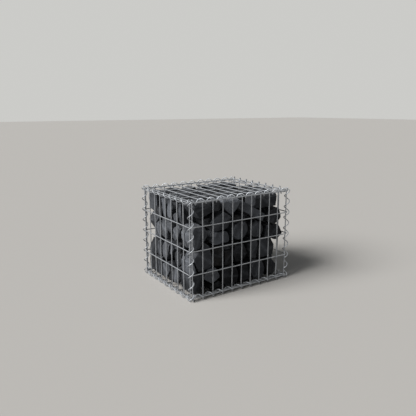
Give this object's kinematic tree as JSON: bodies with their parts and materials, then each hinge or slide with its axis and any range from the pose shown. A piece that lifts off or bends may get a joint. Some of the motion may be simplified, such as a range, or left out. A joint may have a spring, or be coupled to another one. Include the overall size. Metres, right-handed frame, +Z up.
{
  "type": "gabion basket",
  "caption": "Box of welded wire mesh laced along its edges with wire spirals and filled with broken stone.",
  "frame": {"origin": "on the ground below the middle of the basket", "axes": "+X along the long side, -Y the front, +Z up"},
  "size_m": [0.5384, 0.4384, 0.4296],
  "materials": {
    "mesh_wire": "galvanized, dull spangle",
    "spiral_wire": "galvanized, slightly brighter than the mesh",
    "stone": "dark, hackly broken faces"
  },
  "bodies": {
    "root": {"back_left_corner_spiral": "spiral_wire", "back_panel": "mesh_wire", "back_right_corner_spiral": "spiral_wire", "back_stones_course_1": "stone", "back_stones_course_2": "stone", "back_stones_course_3": "stone", "back_stones_course_4": "stone", "back_stones_course_5": "stone", "base_panel": "mesh_wire", "base_stones": "stone", "bottom_back_spiral": "spiral_wire", "bottom_front_spiral": "spiral_wire", "bottom_left_spiral": "spiral_wire", "bottom_right_spiral": "spiral_wire", "front_left_corner_spiral": "spiral_wire", "front_panel": "mesh_wire", "front_right_corner_spiral": "spiral_wire", "front_stones_course_1": "stone", "front_stones_course_2": "stone", "front_stones_course_3": "stone", "front_stones_course_4": "stone", "front_stones_course_5": "stone", "heart_stones": "stone", "left_panel": "mesh_wire", "left_stones_course_1": "stone", "left_stones_course_2": "stone", "left_stones_course_3": "stone", "left_stones_course_4": "stone", "left_stones_course_5": "stone", "lid_panel": "mesh_wire", "lid_stones": "stone", "right_panel": "mesh_wire", "right_stones_course_1": "stone", "right_stones_course_2": "stone", "right_stones_course_3": "stone", "right_stones_course_4": "stone", "right_stones_course_5": "stone", "top_back_spiral": "spiral_wire", "top_front_spiral": "spiral_wire", "top_left_spiral": "spiral_wire", "top_right_spiral": "spiral_wire"}
  },
  "joints": []
}
